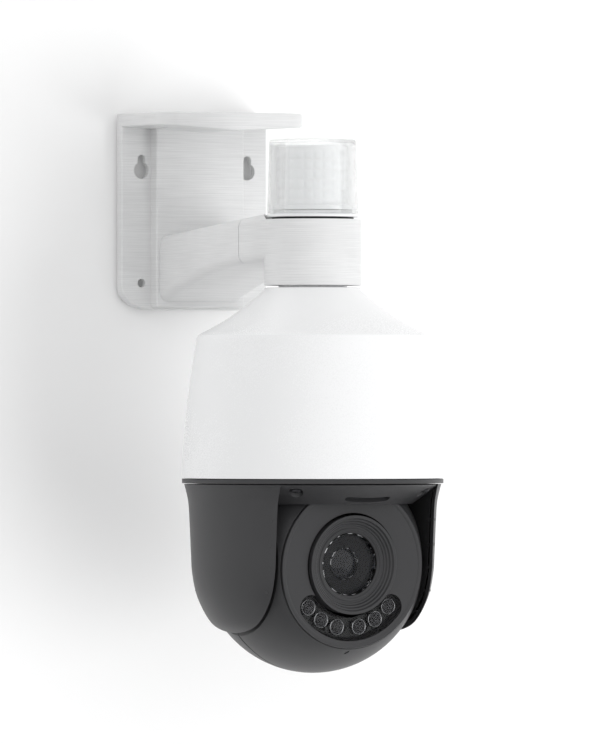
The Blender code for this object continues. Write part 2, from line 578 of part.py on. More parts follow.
def build_ball(parts, axis):
    inside_r, inside_half = BALL_R - BALL_WALL, BALL_HALF - BALL_WALL
    rim = math.sqrt(BALL_R**2 - (FACE_R + GAP)**2)
    lip = FACE_R - 2.4
    outer = [(0.0, SEAM)] + ball_arc(BALL_R, SEAM, rim, 5)
    outer += [(FACE_R + GAP, FACE_SEAT), (lip, FACE_SEAT), (lip, FACE_SEAT - 4), (0.0, FACE_SEAT - 4)]
    front = add("ball_front", ball_slab(outer, BALL_HALF, 32), parts["dark"], axis)
    inner = [(0.0, -2.0)] + ball_arc(inside_r, -2.0, FACE_SEAT - 2.2, 3) + [(0.0, FACE_SEAT - 2.2)]
    combine(front, ball_slab(inner, inside_half, 20), "DIFFERENCE")
    outer = [(0.0, -SEAM)] + ball_arc(BALL_R, -SEAM, -BALL_R, 7)
    rear = add("ball_rear", ball_slab(outer, BALL_HALF, 32), parts["dark"], axis)
    inner = [(0.0, 2.0)] + ball_arc(inside_r, 2.0, -inside_r, 5)
    combine(rear, ball_slab(inner, inside_half, 20), "DIFFERENCE")
    for half in (front, rear):
        combine(half, rightward(rod(TRUNNION_R + GAP, -60, 60, 24)), "DIFFERENCE")

    combine(front, spun(rod(0.8, 53.0, 62.0, 8), MIC_TURN, "X"), "DIFFERENCE")
    add("microphone", spun(rod(1.8, 49.0, 52.0, 12), MIC_TURN + 4, "X"), parts["black"], axis)

    for name, side, end in (("left", -1, CHEEK_X + 7.2), ("right", 1, CHEEK_X + 5.0)):
        flange = inside_half - GAP - 0.1
        shaft = turned([(0.0, side * (flange - 2.7)), (9.0, side * (flange - 2.7)), (9.0, side * flange),
                        (TRUNNION_R, side * flange), (TRUNNION_R, side * end), (0.0, side * end)], 24)
        add(f"tilt_shaft_{name}", rightward(shaft), parts["steel"], axis)
    inner, outer = -(CHEEK_X + 3.5), -(CHEEK_X + 7.1)
    bore, flange = TRUNNION_R + GAP, TILT_PULLEY_R + 1.7
    pulley = turned([(bore, inner), (flange, inner), (flange, inner - 0.6), (TILT_PULLEY_R, inner - 0.6),
                     (TILT_PULLEY_R, outer + 0.6), (flange, outer + 0.6), (flange, outer), (bore, outer)], 20)
    add("tilt_pulley", rightward(pulley), parts["black"], axis)


def build_face(parts, axis):
    """The round front plate, the infrared window below the lens, and the lamps behind it."""
    disc = add("face_disc", forward(turned([(0.0, FACE_SEAT + GAP), (FACE_R - 0.3, FACE_SEAT + GAP),
                                            (FACE_R, FACE_SEAT + 0.8), (FACE_R, FACE_AT - 0.3),
                                            (FACE_R - 0.6, FACE_AT + 0.4), (FACE_R - 2.4, FACE_AT + 0.4),
                                            (FACE_R - 2.9, FACE_AT), (0.0, FACE_AT)], 32)),
               parts["dark"], axis)
    hole = moved(forward(rod(LENS_HOLE_R, 30, 50, 32)), 0, 0, LENS_RISE)
    combine(disc, hole, "DIFFERENCE")
    sweep = LED_ANGLES[-1]
    slot = forward(prism(arc_slot(LED_CIRCLE_R, WINDOW_HALF + GAP, sweep), 30, 50))
    combine(disc, slot, "DIFFERENCE")
    window = add("ir_window", forward(prism(arc_slot(LED_CIRCLE_R, WINDOW_HALF, sweep),
                                            FACE_AT - 1.6, FACE_AT - 0.2)), parts["black"], axis)
    lens_cut = moved(forward(rod(LENS_HOLE_R + GAP, 30, 50, 32)), 0, 0, LENS_RISE)
    combine(window, lens_cut, "DIFFERENCE")
    board = add("led_board", forward(prism(arc_slot(LED_CIRCLE_R, 5.0, sweep + 2), 33.0, 34.5)),
                parts["board"], axis)
    for number, angle in enumerate(LED_ANGLES, 1):
        dome = bowed((LED_R, 36.0), (0.0, 37.8), 8.0, 3, side=-1)
        lamp = turned([(0.0, 34.8), (LED_R, 34.8)] + dome[:-1] + [(0.0, 37.8)], 10)
        x, z = polar(LED_CIRCLE_R, angle)
        add(f"ir_led_{number}", moved(forward(lamp), x, 0, z), parts["led"], axis)
    for radius, angle in ((35.0, -21.3), (32.5, 0.0), (35.0, 21.3)):
        x, z = polar(radius, angle)
        combine(board, moved(forward(rod(1.2, 34.0, 37.0, 8)), x, 0, z), "UNION")


def build_lens(parts, axis):
    """The lens module, on its own axis a little above the ball's centre."""
    bezel = turned([(GLASS_R + 0.4, 33.9), (LENS_RING_R, 33.9), (LENS_RING_R, 41.6),
                    (LENS_RING_R - 0.5, 42.0), (23.7, 42.0), (23.2, 41.5), (21.3, 38.8), (18.9, 38.5),
                    (GLASS_R + 0.4, 37.3)], 24)
    add("lens_ring", forward(bezel), parts["dark"], axis)
    dome = bowed((GLASS_R, 35.6), (0.0, 37.6), 66.0, 3, side=-1)
    glass = turned([(0.0, 34.3), (GLASS_R, 34.3)] + dome[:-1] + [(0.0, 37.6)], 24)
    add("front_glass", forward(glass), parts["glass"], axis)
    barrel = turned([(BARREL_BORE_R, -8), (20, -8), (20, -6), (BARREL_R, -6), (BARREL_R, 33.6),
                     (BARREL_BORE_R, 33.6)], 20)
    add("lens_barrel", forward(barrel), parts["black"], axis)
    for name, low, high in (("zoom_group", 18.0, 26.0), ("focus_group", 2.0, 7.0)):
        cell = turned([(0.0, low + 0.6), (10.0, low + 1.4), (10.0, low), (CELL_R, low), (CELL_R, high),
                       (10.0, high), (10.0, high - 1.6), (0.0, high - 0.6)], 16)
        add(name, forward(cell), parts["glass"], axis)
    board = add("sensor_board", forward(block((36, 36, 1.6), (0, 0, -11.5))), parts["board"], axis)
    combine(board, forward(block((10, 8, 2.4), (0, 0, -10.2))), "UNION")


def build_camera():
    for piece in list(bpy.context.scene.objects):
        bpy.data.objects.remove(piece, do_unlink=True)
    parts = {
        "white": finish("white_plastic", (0.86, 0.87, 0.88), 0.3),
        "dark": finish("graphite_plastic", (0.07, 0.07, 0.075), 0.42),
        "black": finish("black_plastic", (0.02, 0.02, 0.02), 0.35),
        "steel": finish("zinc_plated_steel", (0.55, 0.56, 0.58), 0.35, 1.0),
        "brass": finish("brass", (0.72, 0.53, 0.25), 0.35, 1.0),
        "aluminium": finish("cast_aluminium", (0.6, 0.61, 0.62), 0.45, 1.0),
        "board": finish("circuit_board", (0.03, 0.18, 0.09), 0.5),
        "rubber": finish("rubber", (0.025, 0.025, 0.025), 0.8),
        "led": finish("lamp_resin", (0.75, 0.76, 0.78), 0.15),
        "glass": finish("coated_glass", (0.05, 0.05, 0.09), 0.05, 0.0, 0.6),
    }
    cast = finish("painted_casting", (0.78, 0.79, 0.8), 0.45)
    clear = finish("clear_polycarbonate", (0.9, 0.92, 0.93), 0.06, 0.0, 0.3)

    head_axis = add_axis("head_axis", (0, -REACH, 0))
    pan_axis = add_axis("pan_axis", (0, -REACH, 0))
    pan_motor_axis = add_axis("pan_motor_axis", (0, PAN_CENTRES, 0), head_axis)
    tilt_motor_axis = add_axis("tilt_motor_axis", (0, 0, TILT_Z + TILT_CENTRES), pan_axis)
    tilt_axis = add_axis("tilt_axis", (0, 0, TILT_Z), pan_axis, dip=LENS_DIP)
    lens_axis = add_axis("lens_axis", (0, 0, LENS_RISE), tilt_axis)

    build_bracket(cast, parts["rubber"])
    build_collar(cast, parts["steel"], head_axis)
    build_beacon(cast, parts["board"], clear, parts["rubber"], head_axis)
    build_head(parts, head_axis)
    build_pan_drive(parts, head_axis, pan_motor_axis)
    build_yoke(parts, pan_axis)
    build_tilt_drive(parts, pan_axis, tilt_motor_axis)
    build_ball(parts, tilt_axis)
    build_face(parts, tilt_axis)
    build_lens(parts, lens_axis)


build_camera()
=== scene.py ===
"""A wall-mounted pan and tilt camera with a clear alarm light on top.

Sizes in each section are in millimetres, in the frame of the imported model: the origin is the
centre of the bracket's wall face, +Z is up, and the camera hangs out along -Y.
"""

import math

import bmesh
import bpy
from mathutils import Matrix, Vector


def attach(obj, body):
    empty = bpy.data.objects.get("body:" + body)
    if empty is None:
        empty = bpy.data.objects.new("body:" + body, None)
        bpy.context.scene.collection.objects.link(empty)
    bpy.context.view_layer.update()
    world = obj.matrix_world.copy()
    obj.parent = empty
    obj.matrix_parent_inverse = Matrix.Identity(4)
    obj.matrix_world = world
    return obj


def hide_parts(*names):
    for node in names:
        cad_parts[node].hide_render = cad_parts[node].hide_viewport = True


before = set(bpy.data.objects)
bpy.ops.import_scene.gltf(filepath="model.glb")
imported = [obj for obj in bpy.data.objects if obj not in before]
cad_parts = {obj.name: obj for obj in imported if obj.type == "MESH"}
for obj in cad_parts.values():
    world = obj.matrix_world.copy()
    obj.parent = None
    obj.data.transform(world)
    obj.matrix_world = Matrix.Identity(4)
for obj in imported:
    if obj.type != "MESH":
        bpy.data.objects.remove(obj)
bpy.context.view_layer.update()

# === Viewpoint ===============================================================================
# A long lens about five metres away, level with the middle of the camera and 31 degrees to its
# left, aimed a little above and to the left of the pan axis.

viewing_data = bpy.data.cameras.new("viewing_camera")
viewing_data.lens = 459.7
viewing_data.sensor_width = 36.0
viewing_data.clip_end = 50.0
viewing_camera = bpy.data.objects.new("viewing_camera", viewing_data)
bpy.context.scene.collection.objects.link(viewing_camera)
viewing_turn = math.radians(31.0 - 0.088)
viewing_camera.location = (-2.5634, -4.3946, -0.1057)
gaze = Vector((math.sin(viewing_turn), math.cos(viewing_turn), math.tan(math.radians(0.229))))
viewing_camera.rotation_euler = gaze.to_track_quat("-Z", "Y").to_euler()
bpy.context.scene.camera = viewing_camera

# === Studio ==================================================================================
# A white wall just behind the bracket and a grey floor below, in metres, lit by a white sky and
# three panels. The wall and the floor are clear from their far sides, so that the back and the
# underside of the camera can be looked at.

bpy.context.scene.view_settings.view_transform = "Standard"


def studio_sheet(name, corners, material):
    bm = bmesh.new()
    bm.faces.new([bm.verts.new(corner) for corner in corners])
    mesh = bpy.data.meshes.new(name)
    bm.to_mesh(mesh)
    bm.free()
    mesh.materials.append(material)
    sheet = bpy.data.objects.new(name, mesh)
    bpy.context.scene.collection.objects.link(sheet)
    return sheet


def studio_paint(name, brightness):
    material = bpy.data.materials.new(name)
    material.use_nodes = True
    shader = material.node_tree.nodes["Principled BSDF"]
    shader.inputs["Base Color"].default_value = (brightness, brightness, brightness, 1.0)
    shader.inputs["Roughness"].default_value = 0.9
    shader.inputs["Specular IOR Level"].default_value = 0.0
    nodes = material.node_tree.nodes
    links = material.node_tree.links
    sides = nodes.new("ShaderNodeMixShader")
    links.new(nodes.new("ShaderNodeNewGeometry").outputs["Backfacing"], sides.inputs[0])
    links.new(shader.outputs[0], sides.inputs[1])
    links.new(nodes.new("ShaderNodeBsdfTransparent").outputs[0], sides.inputs[2])
    links.new(sides.outputs[0], nodes["Material Output"].inputs["Surface"])
    return material


WALL_Y = 0.002
FLOOR_Z = -2.0
wall_paint = studio_paint("studio_wall_paint", 0.95)
studio_wall = studio_sheet("studio_wall", [(-4, WALL_Y, FLOOR_Z), (4, WALL_Y, FLOOR_Z), (4, WALL_Y, 4),
                                           (-4, WALL_Y, 4)], wall_paint)
studio_wall.visible_shadow = False
floor_paint = studio_paint("studio_floor_paint", 0.42)
studio_sheet("studio_floor", [(-4, -6, FLOOR_Z), (4, -6, FLOOR_Z), (4, 3, FLOOR_Z), (-4, 3, FLOOR_Z)],
             floor_paint)

studio_world = bpy.data.worlds.new("studio_light")
studio_world.use_nodes = True
studio_world.node_tree.nodes["Background"].inputs["Color"].default_value = (1.0, 1.0, 1.0, 1.0)
studio_world.node_tree.nodes["Background"].inputs["Strength"].default_value = 0.95
bpy.context.scene.world = studio_world

for panel_name, panel_place, panel_size, panel_power in (
    ("panel_low_right", (1.3, -2.3, -1.2), 2.2, 42.0),
    ("panel_high_left", (-1.8, -1.6, 1.4), 0.9, 3.0),
    ("panel_behind", (0.5, 1.6, 0.8), 1.2, 5.0),
):
    panel_data = bpy.data.lights.new(panel_name, "AREA")
    panel_data.shape = "DISK"
    panel_data.size = panel_size
    panel_data.energy = panel_power
    panel_light = bpy.data.objects.new(panel_name, panel_data)
    panel_light.location = panel_place
    panel_light.visible_glossy = False
    towards = Vector((0.0, -0.1, -0.1)) - Vector(panel_place)
    panel_light.rotation_euler = towards.to_track_quat("-Z", "Y").to_euler()
    bpy.context.scene.collection.objects.link(panel_light)

# === Wall bracket ============================================================================
# One aluminium casting, enamelled off-white and lightly brushed along its length: a plate with
# two keyholes, a raised panel, a flange for a soffit, and the hollow arm that carries the cable.


class Signal:
    """One signal in a material's nodes. Python's operators on it add Math nodes."""

    def __init__(self, tree, output=None):
        self.tree = tree
        self.output = output

    def node(self, kind, settings=None, inputs=None, output=0):
        """Adds any node: first its settings, then its sockets' values or links."""
        made = self.tree.nodes.new(f"ShaderNode{kind}")
        for name, value in (settings or {}).items():
            setattr(made, name, value)
        for socket, value in (inputs or {}).items():
            if isinstance(value, Signal):
                self.tree.links.new(value.output, made.inputs[socket])
            else:
                made.inputs[socket].default_value = value
        return Signal(self.tree, made.outputs[output])

    def math(self, operation, first, second=0.0):
        return self.node("Math", {"operation": operation}, {0: first, 1: second})

    def __add__(self, other):
        return self.math("ADD", self, other)

    def __mul__(self, other):
        return self.math("MULTIPLY", self, other)

    def __gt__(self, other):
        return self.math("GREATER_THAN", self, other)

    __radd__ = __add__
    __rmul__ = __mul__


class Finish:
    """A material: constant values on its shader's sockets, and a signal to draw the rest from."""

    def __init__(self, name, colour, roughness, constants=None):
        self.material = bpy.data.materials.new(name)
        self.material.use_nodes = True
        self.material.diffuse_color = (*colour, 1.0)
        self.shader = self.material.node_tree.nodes["Principled BSDF"]
        self.shader.inputs["Base Color"].default_value = (*colour, 1.0)
        self.shader.inputs["Roughness"].default_value = roughness
        for socket, value in (constants or {}).items():
            self.shader.inputs[socket].default_value = value
        self.draw = Signal(self.material.node_tree)
        self.place = self.draw.node("TexCoord", output="Object")

    def stretched(self, scale):
        """Object coordinates drawn out or squeezed along each axis, for grain."""
        return self.draw.node("Mapping", None, {"Vector": self.place, "Scale": scale})

    def noise(self, scale, detail=2.0, where=None):
        return self.draw.node("TexNoise", None, {"Vector": where or self.place, "Scale": scale,
                                                 "Detail": detail})

    def feed(self, socket, signal):
        self.material.node_tree.links.new(signal.output, self.shader.inputs[socket])

    def colours(self, factor, low, high):
        """Base colour that goes from low to high with a factor."""
        mix = self.draw.node("Mix", {"data_type": "RGBA"}, {0: factor, 6: (*low, 1.0), 7: (*high, 1.0)}, 2)
        self.feed("Base Color", mix)

    def rough(self, factor, low, high):
        self.feed("Roughness", factor * (high - low) + low)

    def bump(self, height, distance, strength=1.0):
        """Surface relief, with its depth in millimetres."""
        relief = self.draw.node("Bump", None, {"Height": height, "Distance": distance / 1000,
                                               "Strength": strength})
        self.feed("Normal", relief)


cast_enamel = Finish("cast_enamel", (0.68, 0.685, 0.685), 0.42)
grain = cast_enamel.noise(1.0, 4.0, cast_enamel.stretched((45.0, 45.0, 4200.0)))
blotches = cast_enamel.noise(38.0, 3.0)
orange_peel = cast_enamel.noise(900.0, 2.0)
cast_enamel.colours(grain * 0.75 + blotches * 0.25, (0.52, 0.523, 0.525), (0.90, 0.903, 0.905))
cast_enamel.rough(grain * 0.6 + blotches * 0.4, 0.30, 0.56)
cast_enamel.bump(grain + orange_peel * 0.3, 0.06, 0.7)


def turned(outline, steps=128):
    """Spins (radius, height) points about Z. An outline with both ends on the axis is closed there."""
    bm = bmesh.new()
    points = [bm.verts.new((radius, 0.0, height)) for radius, height in outline]
    on_axis = abs(outline[0][0]) < 1e-6 and abs(outline[-1][0]) < 1e-6
    following = points[1:] if on_axis else points[1:] + points[:1]
    edges = [bm.edges.new(pair) for pair in zip(points, following)]
    bmesh.ops.spin(bm, geom=points + edges, cent=(0, 0, 0), axis=(0, 0, 1),
                   angle=math.tau, steps=steps, use_merge=True)
    bmesh.ops.remove_doubles(bm, verts=bm.verts, dist=1e-4)
    bmesh.ops.dissolve_degenerate(bm, dist=1e-5, edges=bm.edges)
    bmesh.ops.recalc_face_normals(bm, faces=bm.faces)
    return bm


def prism(outline, low, high):
    """A closed (x, y) outline extruded along Z."""
    bm = bmesh.new()
    face = bm.faces.new([bm.verts.new((x, y, low)) for x, y in outline])
    made = bmesh.ops.extrude_face_region(bm, geom=[face])
    top = [item for item in made["geom"] if isinstance(item, bmesh.types.BMVert)]
    bmesh.ops.translate(bm, vec=(0, 0, high - low), verts=top)
    bmesh.ops.recalc_face_normals(bm, faces=bm.faces)
    return bm


def block(size, centre=(0.0, 0.0, 0.0)):
    """A box of a size, about its centre."""
    bm = bmesh.new()
    bmesh.ops.create_cube(bm, size=1.0)
    bmesh.ops.scale(bm, vec=size, verts=bm.verts)
    return moved(bm, *centre)


def moved(bm, x=0.0, y=0.0, z=0.0):
    bmesh.ops.translate(bm, vec=(x, y, z), verts=bm.verts)
    return bm


def spun(bm, degrees, axis):
    bmesh.ops.rotate(bm, cent=(0, 0, 0), matrix=Matrix.Rotation(math.radians(degrees), 3, axis),
                     verts=bm.verts)
    return bm


def forward(bm):
    """Turns a shape so that its height points along -Y, with its outline's y upwards."""
    return spun(bm, 90, "X")


def rightward(bm):
    """Turns a shape so that its height points along +X."""
    return spun(bm, 90, "Y")


def sideways(bm):
    """Turns a prism of a (y, z) outline so that its height lies along X."""
    bmesh.ops.rotate(bm, cent=(0, 0, 0), matrix=Matrix(((0, 0, 1), (1, 0, 0), (0, 1, 0))),
                     verts=bm.verts)
    return bm


def sliced(bm, point, outward):
    """Cuts off what lies beyond a plane and closes the cut."""
    everything = bm.verts[:] + bm.edges[:] + bm.faces[:]
    bmesh.ops.bisect_plane(bm, geom=everything, plane_co=point, plane_no=outward, clear_outer=True)
    bmesh.ops.holes_fill(bm, edges=[edge for edge in bm.edges if edge.is_boundary])
    return bm


def eased(bm, radius, steps=3, angle=40.0, chosen=None):
    """Rounds the sharp edges of a shape, or only those that a test chooses."""
    bmesh.ops.recalc_face_normals(bm, faces=bm.faces)
    sharp = [edge for edge in bm.edges if len(edge.link_faces) == 2
             and math.degrees(edge.calc_face_angle()) > angle and (chosen is None or chosen(edge))]
    bmesh.ops.bevel(bm, geom=sharp, offset=radius, offset_type="OFFSET", segments=steps, profile=0.5,
                    affect="EDGES", material=-1, clamp_overlap=True)
    return bm


def carve(bm, tool, operation="DIFFERENCE"):
    """Cuts, joins or trims one shape with another."""
    solids = []
    for shape in (bm, tool):
        mesh = bpy.data.meshes.new("shape")
        shape.to_mesh(mesh)
        shape.free()
        solids.append(bpy.data.objects.new("shape", mesh))
        bpy.context.scene.collection.objects.link(solids[-1])
    boolean = solids[0].modifiers.new("Boolean", "BOOLEAN")
    boolean.operation = operation
    boolean.solver = "EXACT"
    boolean.object = solids[1]
    bpy.context.view_layer.update()
    result = bmesh.new()
    result.from_object(solids[0], bpy.context.evaluated_depsgraph_get())
    for solid in solids:
        bpy.data.meshes.remove(solid.data)
    bmesh.ops.remove_doubles(result, verts=result.verts, dist=1e-4)
    return result


def arc(centre, radius, start, end, steps):
    """Points on a circle from one angle to another, in degrees."""
    angles = [math.radians(start + (end - start) * i / steps) for i in range(steps + 1)]
    return [(centre[0] + radius * math.cos(a), centre[1] + radius * math.sin(a)) for a in angles]


def bowed(start, end, radius, steps, side=1.0):
    """Points on a shallow arc that bulges to the left of the way from start to end, or right at -1."""
    a, b = Vector(start), Vector(end)
    along = b - a
    half = along.length / 2
    left = Vector((-along.y, along.x)).normalized() * side
    points = []
    for i in range(steps + 1):
        offset = (2 * i / steps - 1) * half
        rise = math.sqrt(radius**2 - offset**2) - math.sqrt(radius**2 - half**2)
        points.append(tuple(a + along * (i / steps) + left * rise))
    return points


def dressed(name, bm, body, finish, stands_for=()):
    """Makes a finished piece of a millimetre shape, riding on a body of the frame."""
    bmesh.ops.scale(bm, vec=(0.001, 0.001, 0.001), verts=bm.verts)
    mesh = bpy.data.meshes.new(name)
    bm.to_mesh(mesh)
    bm.free()
    mesh.shade_smooth()
    mesh.set_sharp_from_angle(angle=math.radians(38))
    mesh.materials.append(finish.material)
    piece = bpy.data.objects.new(name, mesh)
    bpy.context.scene.collection.objects.link(piece)
    weighted = piece.modifiers.new("Weighted Normals", "WEIGHTED_NORMAL")
    weighted.keep_sharp = True
    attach(piece, body)
    if stands_for:
        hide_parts(*stands_for)
    return piece


PLATE_HALF_WIDTH = 44.7
PLATE_HALF_HEIGHT = 52.3
PLATE_THICKNESS = 5.8
plate_corner = [(PLATE_HALF_WIDTH - 18.4 * (1 - math.sin(math.radians(a))),
                 -PLATE_HALF_HEIGHT + 11.8 * (1 - math.cos(math.radians(a)))) for a in range(0, 91, 5)]
plate_outline = [(-PLATE_HALF_WIDTH, PLATE_HALF_HEIGHT)] + [(-x, z) for x, z in reversed(plate_corner)]
plate_outline += plate_corner + [(PLATE_HALF_WIDTH, PLATE_HALF_HEIGHT)]
bracket = eased(forward(prism(plate_outline, 0, PLATE_THICKNESS)), 0.7)
panel = eased(block((54.0, 11.1, 100.3), (0, -6.55, -0.85)), 0.9)
bracket = carve(bracket, panel, "UNION")

FLANGE_CORNER_R = 11.0
corner_x = PLATE_HALF_WIDTH - FLANGE_CORNER_R
flange_outline = [(PLATE_HALF_WIDTH, -0.5), (-PLATE_HALF_WIDTH, -0.5)]
flange_outline += arc((-corner_x, -40.0), FLANGE_CORNER_R, 180, 270, 16)
flange_outline += arc((corner_x, -40.0), FLANGE_CORNER_R, 270, 360, 16)
flange = prism(flange_outline, 41.6, PLATE_HALF_HEIGHT)
for side in (-1, 1):
    sliced(flange, (0, 0, 42.6), (side * 2.5 / PLATE_HALF_WIDTH, 0, -1))
bracket = carve(bracket, eased(flange, 0.9, angle=25.0), "UNION")

ARM_SLOPE = 7.7 / 81.9
ARM_END = 94.0


def arm_top(distance):
    """The height of the arm's top at a distance from the wall."""
    return -12.6 + ARM_SLOPE * (distance - 12.1)


def arm_shape(outline, half_width):
    """A length of the arm from its side outline, with its four long edges well rounded."""
    arm = sideways(prism(outline, -half_width, half_width))
    back = max(vert.co.y for vert in arm.verts)
    front = min(vert.co.y for vert in arm.verts)

    def is_long(edge):
        a, b = (vert.co for vert in edge.verts)
        ends = min(a.y, b.y) > back - 0.5 or max(a.y, b.y) < front + 0.5
        return abs(a.x - b.x) < 0.01 and not ends

    return eased(arm, 5.0, steps=8, angle=20.0, chosen=is_long)


arm_side = [(-8.0, arm_top(8.0)), (-ARM_END, arm_top(ARM_END))]
arm_side += bowed((-ARM_END, -29.0), (-12.1, -48.0), 300.0, 20) + [(-8.0, -48.0)]
arm = arm_shape(arm_side, 25.0)
eased(arm, 0.5, steps=2, chosen=lambda edge: max(vert.co.y for vert in edge.verts) < 0.1 - ARM_END)
bracket = carve(bracket, arm, "UNION")

for low, high in ((6.0, 42.0), (-40.0, -6.0)):
    bracket = carve(bracket, eased(block((77, 5.6, high - low), (0, 0, (low + high) / 2)), 1.0))
bracket = carve(bracket, eased(block((44, 18, 31), (0, 0, 24)), 1.5))
arm_tunnel = [(1.0, -19.5), (-88.0, -12.0), (-88.0, -24.0), (-50.0, -30.0), (1.0, -38.0)]
bracket = carve(bracket, sideways(prism(arm_tunnel, -18, 18)))
bracket = carve(bracket, moved(forward(turned([(0, 80), (7, 80), (7, 100), (0, 100)], 48)), 0, 0, -18))


KEYHOLE_HEAD_R = 4.52
KEYHOLE_NECK_R = 2.3
HOLE_X = 32.75


def keyhole_outline(x, grow):
    """A keyhole's outline, made larger all round by grow."""
    head_r = KEYHOLE_HEAD_R + grow
    neck_r = KEYHOLE_NECK_R + grow
    spread = math.degrees(math.asin(neck_r / head_r))
    head = arc((x, 22.1), head_r, 90 + spread, 450 - spread, 40)
    return head + arc((x, 28.1), neck_r, 0, 180, 20)


def flared_hole(radius, low, high):
    """A round cutter with a slightly wider mouth at its high end."""
    return turned([(0.0, low), (radius, low), (radius, high - 0.35), (radius + 0.1, high - 0.12),
                   (radius + 0.35, high), (radius + 0.35, high + 3), (0.0, high + 3)], 48)


for x in (-HOLE_X, HOLE_X):
    bracket = carve(bracket, forward(prism(keyhole_outline(x, 0.0), -2, 9)))
    bracket = carve(bracket, forward(prism(keyhole_outline(x, 0.2), 5.6, 9)))
    bracket = carve(bracket, moved(forward(flared_hole(2.25, -2, PLATE_THICKNESS)), x, 0, -38.1))
    for distance, radius in ((11.2, 2.25), (27.2, 3.5)):
        bracket = carve(bracket, moved(flared_hole(radius, 38, PLATE_HALF_HEIGHT), x, -distance))

dressed("bracket_casting", bracket, "head", cast_enamel, ["wall_bracket"])

# === Cable grommet ===========================================================================
# A soft rubber bush pressed into the arm's outlet, where the cable passes into the collar.

moulded_rubber = Finish("moulded_rubber", (0.025, 0.025, 0.026), 0.75)
rubber_grain = moulded_rubber.noise(1400.0, 3.0)
rubber_bloom = moulded_rubber.noise(60.0, 3.0)
moulded_rubber.colours(rubber_bloom, (0.016, 0.016, 0.017), (0.042, 0.042, 0.044))
moulded_rubber.rough(rubber_bloom, 0.62, 0.88)
moulded_rubber.bump(rubber_grain, 0.05, 0.6)


def coated(finish, *nodes):
    """Gives carried-over nodes of the frame a finish."""
    for name in nodes:
        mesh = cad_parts[name].data
        mesh.materials.clear()
        mesh.materials.append(finish.material)


coated(moulded_rubber, "cable_grommet")

# === Collar ==================================================================================
# A second casting in the same enamel: a short drum round the neck, with the stub that meets
# the end of the arm. A fine joint line shows between the two.

REACH = 128.5


def on_neck(bm, x=0.0, y=0.0, z=0.0):
    """Takes a shape made about the head's own upright axis out to its place before the wall."""
    return moved(bm, x, y - REACH, z)


def softened(outline, radius, closed=True, steps=4):
    """An outline with its corners rounded. Corners that hardly turn stay as they are."""
    points = []
    for i, point in enumerate(outline):
        corner = Vector(point)
        before = Vector(outline[i - 1]) - corner
        after = Vector(outline[(i + 1) % len(outline)]) - corner
        at_end = not closed and i in (0, len(outline) - 1)
        if at_end or before.angle(after) > math.radians(158):
            points.append(tuple(corner))
            continue
        cut = min(radius / math.tan(before.angle(after) / 2), before.length * 0.45, after.length * 0.45)
        start = corner + before.normalized() * cut
        end = corner + after.normalized() * cut
        for k in range(steps + 1):
            t = k / steps
            points.append(tuple(start.lerp(corner, t).lerp(corner.lerp(end, t), t)))
    return points


drum = softened([(0.0, -40.5), (25.5, -40.5), (25.5, 0.0), (0.0, 0.0)], 0.6, closed=False)
collar = turned(drum, 144)
stub_back = ARM_END + 0.3
stub_side = [(-stub_back, arm_top(stub_back)), (-REACH, arm_top(REACH)), (-REACH, -27.7), (-stub_back, -29.0)]
stub = arm_shape(stub_side, 24.95)
eased(stub, 0.5, steps=2, chosen=lambda edge: min(vert.co.y for vert in edge.verts) > -0.1 - stub_back)
collar = carve(on_neck(collar), stub, "UNION")
crown = turned(softened([(0.0, -6.0), (25.52, -6.0), (25.52, 5.0), (0.0, 5.0)], 0.3, closed=False), 144)
collar = carve(collar, on_neck(crown))
collar_bore = turned([(0, -43), (18.9, -43), (18.9, -40.5), (18.3, -39.9), (18.3, -12), (0, -12)], 96)
collar = carve(collar, on_neck(collar_bore))
collar = carve(collar, on_neck(turned([(0, -14), (5, -14), (5, 0), (0, 0)], 48)))
collar_inlet = on_neck(forward(turned([(0, -40), (7, -40), (7, -10), (0, -10)], 48)), z=-18)
collar = carve(collar, collar_inlet)
dressed("collar_casting", collar, "head", cast_enamel, ["neck_collar"])

# === Neck tube, neck nut and other steel parts ===============================================
# Plated steel that is hidden once the head is closed: the threaded tube that holds the shell, its
# nut, the bearings, the motor cans and the shafts.

plated_steel = Finish("plated_steel", (0.60, 0.61, 0.63), 0.3, {"Metallic": 1.0})
turning_marks = plated_steel.noise(1.0, 3.0, plated_steel.stretched((90.0, 90.0, 4200.0)))
plating_clouds = plated_steel.noise(110.0, 4.0)
plated_steel.colours(plating_clouds, (0.50, 0.51, 0.53), (0.70, 0.70, 0.70))
plated_steel.rough(turning_marks * 0.5 + plating_clouds * 0.5, 0.20, 0.46)
plated_steel.bump(turning_marks, 0.02, 0.5)
coated(plated_steel, "neck_tube", "neck_nut", "pan_bearing", "motor_plate", "pan_motor",
       "tilt_bearing_left", "tilt_bearing_right", "tilt_motor", "tilt_shaft_left", "tilt_shaft_right")

# === Alarm light =============================================================================
# A clear cup over a prism lens and a ring of lamps. The cup is clamped between its white base
# and the collar, on a thin rubber seal that shows as a dark line.

coated(moulded_rubber, "beacon_seal")

white_shell = Finish("white_shell", (0.84, 0.845, 0.85), 0.26, {"Coat Roughness": 0.12})
mould_texture = white_shell.noise(1700.0, 3.0)
moulding_flow = white_shell.noise(14.0, 3.0)
white_shell.colours(moulding_flow, (0.82, 0.825, 0.83), (0.86, 0.865, 0.87))
white_shell.rough(moulding_flow * 0.6 + mould_texture * 0.4, 0.20, 0.34)
white_shell.bump(mould_texture, 0.012, 0.5)

beacon_base = turned(softened([(8, -4.7), (24.2, -4.7), (24.2, -3.2), (20.5, -3.2), (20.5, -1.2),
                               (8, -1.2)], 0.4), 128)
dressed("alarm_base", on_neck(beacon_base), "head", white_shell, ["beacon_base"])


def polar(radius, degrees):
    """A place round an upright axis, counted from straight ahead (-Y) towards +X."""
    angle = math.radians(degrees)
    return radius * math.sin(angle), -radius * math.cos(angle)


